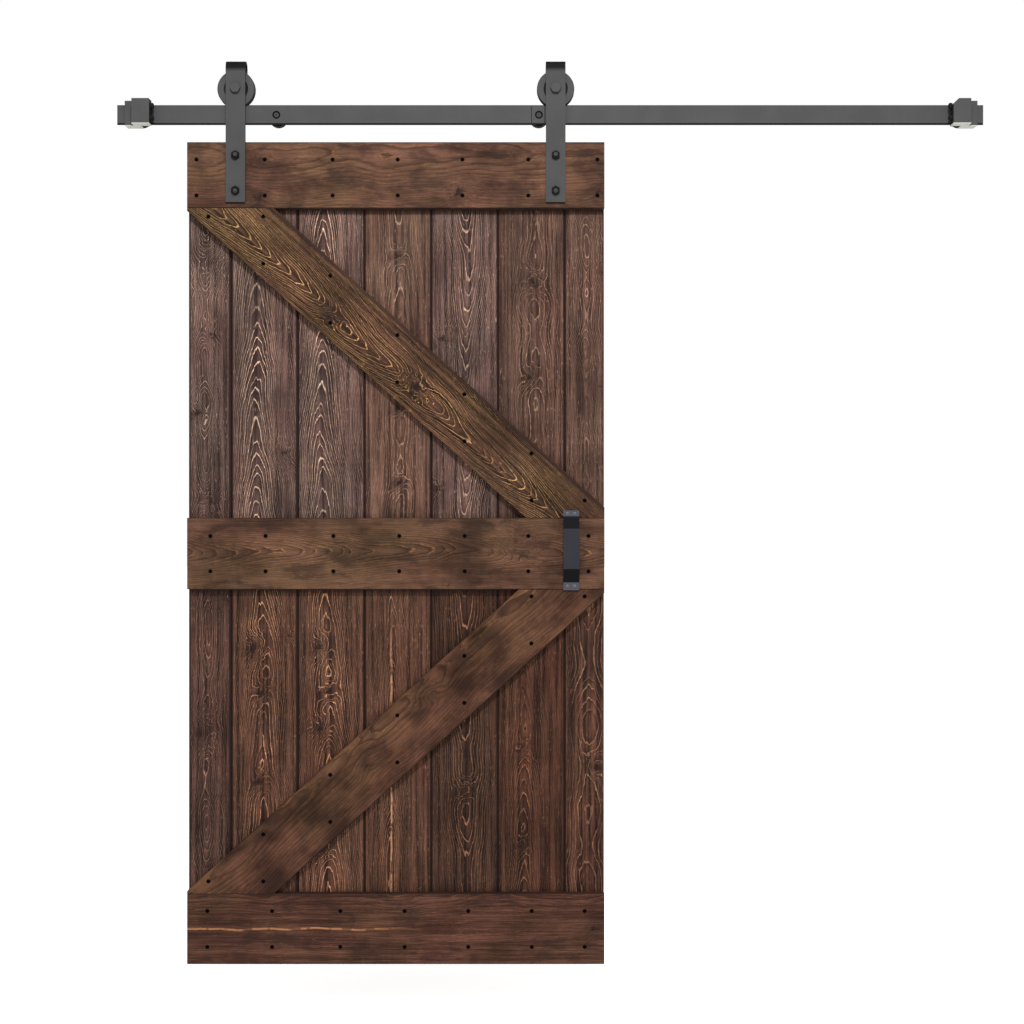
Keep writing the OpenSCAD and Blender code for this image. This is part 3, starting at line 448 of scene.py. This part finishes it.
rail_wood("top_rail", tones=RAIL_TONES, rings=(0.05, 0.06, 0.02, 0.012, 150), seed=4.4,
          knots=[(-0.057, 0.19, 0.014, 0.9), (-0.044, 0.705, 0.016, 0.9),
                 (-0.044, 1.066, 0.010, 0.8)],
          lines=0.22, blotch=0.95, fibre=0.7, bands=0.3)
rail_wood("middle_rail", tones=MIDDLE_TONES, rings=(0.006, 0.026, 0.10, 0.008, 210), seed=9.2,
          knots=[(-0.08, 0.68, 0.014, 0.5), (0.03, 0.86, 0.018, 0.5)],
          lines=0.5, blotch=0.95, fibre=0.6, bands=0.35)
rail_wood("bottom_rail", tones=BOTTOM_TONES, rings=(0.10, 0.05, 0.02, 0.010, 200), seed=2.6,
          knots=[(0.0, 1.06, 0.016, 0.7)],
          lines=0.35, blotch=0.6, fibre=0.9, bands=0.7, streak=(0.0, 0.62, colour(150, 102, 66)))


def brace_direction(node, falls):
    """Unit vectors along a brace and across it, from the ends of its long edge."""
    low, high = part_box(node)
    points = [p.co for p in nodes[node].data.vertices]
    at_left = [p.z for p in points if p.x < low.x + MM]
    end_z = low.z if falls else high.z
    at_end = [p.x for p in points if abs(p.z - end_z) < MM]
    start = Vector((low.x, 0, min(at_left) if falls else max(at_left)))
    along = (Vector((min(at_end), 0, end_z)) - start).normalized()
    return along, Vector((-along.z, 0, along.x))


def brace_wood(node, falls, **looks):
    along, across = brace_direction(node, falls)
    low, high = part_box(node)
    middle = Vector(((low.x + high.x) / 2, low.y, (low.z + high.z) / 2))
    dress(node, wood(
        f"wood_{node}", middle, across, along, BRACE_HALF_WIDTH, pierced=node, edge=BOARD_RIM,
        edge_dark=0.7, tints=RAIL_TINTS, smears=0.5, **looks))


brace_wood("upper_brace", True, seed=5.9,
           tones=(colour(26, 17, 12), colour(64, 44, 33), colour(180, 142, 94)),
           rings=(-0.016, 0.020, 0.13, 0.008, 230),
           knots=[(-0.01, 0.08, 0.016, 0.9), (-0.03, -0.21, 0.013, 0.9)],
           lines=0.8, blotch=0.6, fibre=0.9)
brace_wood("lower_brace", False, seed=8.3,
           tones=(colour(33, 21, 16), colour(66, 44, 33), colour(140, 98, 66)),
           rings=(0.06, 0.06, 0.02, 0.012, 150),
           knots=[(0.0, -0.1, 0.010, 0.5), (0.03, 0.15, 0.012, 0.4)],
           lines=0.25, blotch=1.25, fibre=0.55, bands=0.3)

# ---------- steel, rubber and plastic ----------


def coated(name, shade, rough=0.68, grain=0.25, edge_dark=0.0, spots=None, fades=(), gloss=0.06,
           shade_facing_from=0.35, seams=(), rim=None):
    """Powder coat: a fine pebbled skin with slight cloudiness.

    edge_dark is painted shade: it darkens the faces that don't look along Y, fully so where their
    facing along Y is at or below the given facing limit. spots are places of round marks, their
    radius and their shade. fades are heights where the coat starts and ends to darken. seams are
    places along X of thin dark lines, and rim is a set of axes and the radius to darken from.
    """
    material, g, shader = new_material(name)
    place = g.node("ShaderNodeTexCoord").outputs["Object"]
    cloud = g.noise(place, 14.0, 3.0)
    shade_factor = g.ramp(cloud, 0.3, 0.7, 0.94, 1.05)
    # Painted shade: faces turned away from Y are darkened. This stands for the shade on tops,
    # undersides and sides.
    if edge_dark:
        normal = g.node("ShaderNodeNewGeometry").outputs["Normal"]
        facing = g.math("ABSOLUTE", g.vector("DOT_PRODUCT", normal, tuple(DEEP)))
        shade_factor = g.mul(shade_factor, g.ramp(facing, shade_facing_from, 0.97, 1.0 - edge_dark, 1.0))
    height = g.vector("DOT_PRODUCT", place, tuple(UP))
    for seam_x in seams:
        gap = g.math("ABSOLUTE", g.sub(g.vector("DOT_PRODUCT", place, tuple(RIGHT)), seam_x))
        shade_factor = g.mul(shade_factor, g.ramp(gap, 0.5 * MM, 1.3 * MM, 0.15, 1.0))
    if rim:
        rim_axes, rim_r = rim
        shade_factor = g.mul(
            shade_factor, g.ramp(radial(g, rim_axes), rim_r, rim_r + 1 * MM, 1.0, 0.35))
    for fade_from, fade_to, fade_dark in fades:
        shade_factor = g.mul(shade_factor, g.ramp(height, fade_from, fade_to, 1.0, 1.0 - fade_dark))
    tone = g.scale_colour(colour(*shade), shade_factor)
    if spots:
        axes, spot_r, spot_shade = spots
        mark = g.ramp(radial(g, axes), spot_r - 0.4 * MM, spot_r + 0.4 * MM, 1.0, 0.0)
        tone = g.mix(mark, tone, colour(*spot_shade))
    g.put(shader.inputs["Base Color"], tone)
    pebble = g.noise(place, 1500.0, 2.0)
    g.put(shader.inputs["Roughness"], g.add(rough, g.mul(g.sub(pebble, 0.5), 0.12)))
    shader.inputs["Specular IOR Level"].default_value = gloss
    rounded = g.node("ShaderNodeBevel", samples=4)
    rounded.inputs["Radius"].default_value = 0.6 * MM
    bump = g.node("ShaderNodeBump")
    bump.inputs["Strength"].default_value = grain
    bump.inputs["Distance"].default_value = 0.08 * MM
    g.put(bump.inputs["Height"], pebble)
    g.put(bump.inputs["Normal"], rounded.outputs[0])
    g.put(shader.inputs["Normal"], bump.outputs[0])
    return material


def metal(name, shade, rough):
    material, g, shader = new_material(name)
    place = g.node("ShaderNodeTexCoord").outputs["Object"]
    turned = g.noise(g.vector("MULTIPLY", place, (900.0, 60.0, 900.0)), 1.0, 2.0)
    tone = g.scale_colour(colour(*shade), g.ramp(turned, 0.3, 0.7, 0.85, 1.1))
    g.put(shader.inputs["Base Color"], tone)
    g.put(shader.inputs["Roughness"], g.add(rough, g.mul(g.sub(turned, 0.5), 0.15)))
    shader.inputs["Metallic"].default_value = 1.0
    return material


lag_axes = [centre(f"lag_screw_{place}") for place in ("left_end", "left", "joint", "right_end")]
bolt_axes = []
for side_name in ("left", "right"):
    low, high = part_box(f"{side_name}_strap_bolts")
    head_r = size(f"{side_name}_strap_bolts").x / 2
    bolt_axes += [Vector(((low.x + high.x) / 2, 0, low.z + head_r)),
                  Vector(((low.x + high.x) / 2, 0, high.z - head_r))]

wheel_axes = [centre("left_wheel"), centre("right_wheel")]
wheel_r = size("left_wheel").x / 2
# Painted shade: out to this share of its radius, the wheel is painted near-black. This is the shade
# inside its recessed middle.
RECESS_SHADE_SHARE = 0.64
rail_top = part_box("wall_rail_left")[1].z
strap_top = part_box("left_strap")[1].z
# Painted shade: bands along the rail's bottom and top edges are darkened, standing for its shaded
# underside and top.
RAIL_EDGE_SHADE = ((-rail_top + 4.6 * MM, -rail_top + 3.2 * MM, 0.93),
              (rail_top - 2.0 * MM, rail_top - 0.8 * MM, 0.6))
JOINT_SEAMS = (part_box("wall_rail_right")[0].x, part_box("wall_rail_left")[1].x - 3.5 * MM)
# Painted shade: the wheel darkens in a ring near its edge, where its tread turns away from the
# light.
WHEEL_RIM_SHADE = (wheel_axes, wheel_r - 1.6 * MM)
# Painted shade: the strap darkens over its bend towards the top, standing for the shade on its
# up-facing curve.
STRAP_BEND_SHADE = ((strap_top - 32 * MM, strap_top - 17 * MM, 0.95),)

handle_low, handle_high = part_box("pull_handle")
# A negative darkening lightens the handle's flanges.
HANDLE_FLANGES = ((handle_low.z + 23 * MM, handle_low.z + 21 * MM, -1.6),
                  (handle_high.z - 18 * MM, handle_high.z - 16 * MM, -1.6))

# In these finishes edge_dark is painted shade on the faces that turn away from Y: the rail's top
# and underside, the strap's bend and edges, the handle's legs, and the stops, axles and wheels.
finishes = {
    # Rail: the near-black spots round the lag bolts are painted shade in their counterbores.
    "rail_coat": coated("steel_rail", (51, 51, 51), edge_dark=0.95,
                        spots=(lag_axes, 10.4 * MM, (3, 3, 3)), fades=RAIL_EDGE_SHADE,
                        seams=JOINT_SEAMS),
    "standoff_coat": coated("steel_standoff", (6, 6, 6)),
    # Lag screws: near-black apart from a grey disc on each head, so the ring round each head reads
    # as the shade in its counterbore.
    "fixing_steel": coated("steel_fixing", (6, 6, 6), spots=(lag_axes, 7.0 * MM, (44, 44, 44))),
    "stop_coat": coated("steel_stop", (52, 52, 52), edge_dark=0.8),
    "strap_coat": coated("steel_strap", (49, 49, 49), edge_dark=0.9, fades=STRAP_BEND_SHADE),
    "axle_coat": coated("steel_axle", (50, 50, 50), edge_dark=0.4),
    "handle_coat": coated("steel_handle", (32, 32, 37), edge_dark=0.8, fades=HANDLE_FLANGES,
                            shade_facing_from=0.8),
    "black_steel": coated("steel_black", (3, 3, 3), 0.6, spots=(bolt_axes, 5.4 * MM, (42, 42, 43))),
    "wood_screw": coated("steel_screw", (1, 1, 1), 0.8, gloss=0.02),
    # Wheel: the near-black middle and the darker ring near its edge are painted shade.
    "wheel_nylon": coated("wheel_nylon", (49, 49, 49), 0.6, 0.15, edge_dark=0.85,
                          spots=(wheel_axes, RECESS_SHADE_SHARE * wheel_r, (6, 6, 6)), rim=WHEEL_RIM_SHADE),
    "rubber": coated("bumper_rubber", (16, 16, 16), 0.7, 0.4),
    "nylon": coated("pad_nylon", (146, 146, 141), 0.6, 0.2),
    "zinc": metal("zinc_plate", (190, 190, 188), 0.35),
    "bearing_steel": metal("bearing_steel", (180, 180, 182), 0.25),
}
for part in frame["record"]["subparts"]:
    if part["material_slot"] in finishes:
        dress(part["node"], finishes[part["material_slot"]])

dress("handle_screws", coated("handle_screw", (92, 92, 100), 0.5, gloss=0.3,
                              spots=(screw_axes("handle_screws"), 1.9 * MM, (3, 3, 3))))

# ---------- studio ----------

floor_z = leaf_low.z - 120 * MM
bpy.ops.mesh.primitive_plane_add(size=60, location=(0, 0, floor_z))
floor = bpy.context.object
floor.name = "studio_floor"
floor_material, floor_graph, floor_shader = new_material("studio_floor")
floor_place = floor_graph.node("ShaderNodeTexCoord").outputs["Object"]
floor_cloud = floor_graph.noise(floor_place, 3.0, 3.0)
floor_graph.put(floor_shader.inputs["Base Color"], floor_graph.scale_colour(
    colour(244, 244, 243), floor_graph.ramp(floor_cloud, 0.3, 0.7, 0.985, 1.0)))
floor_shader.inputs["Roughness"].default_value = 0.9
floor_shader.inputs["Emission Color"].default_value = (1, 1, 1, 1)
floor_shader.inputs["Emission Strength"].default_value = 0.35
floor.data.materials.append(floor_material)

world = bpy.data.worlds.new("studio_world")
world.use_nodes = True
world.node_tree.nodes["Background"].inputs["Color"].default_value = (1, 1, 1, 1)
world.node_tree.nodes["Background"].inputs["Strength"].default_value = 1.0
bpy.context.scene.world = world
bpy.context.scene.view_settings.view_transform = "Standard"


def softbox(name, place, target, width, height, power):
    light = bpy.data.lights.new(name, "AREA")
    light.shape = "RECTANGLE"
    light.size = width
    light.size_y = height
    light.energy = power
    holder = bpy.data.objects.new(name, light)
    bpy.context.scene.collection.objects.link(holder)
    holder.location = place
    holder.rotation_euler = (Vector(target) - Vector(place)).to_track_quat("-Z", "Y").to_euler()


low_corner, high_corner = cad_box
middle_of_all = (low_corner + high_corner) / 2
softbox("key_light", (0.1, -3.6, 2.5), middle_of_all, 0.9, 0.5, 400)

# ---------- camera ----------

SENSOR = 36.0
LENS = 50.0
VIEW_DISTANCE = 3.691
camera_data = bpy.data.cameras.new("camera")
camera_data.sensor_width = SENSOR
camera_data.lens = LENS
camera = bpy.data.objects.new("camera", camera_data)
bpy.context.scene.collection.objects.link(camera)
camera.location = (-0.070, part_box("middle_rail")[0].y - VIEW_DISTANCE, -1.033)
camera.rotation_euler = (math.radians(90), 0, 0)
bpy.context.scene.camera = camera
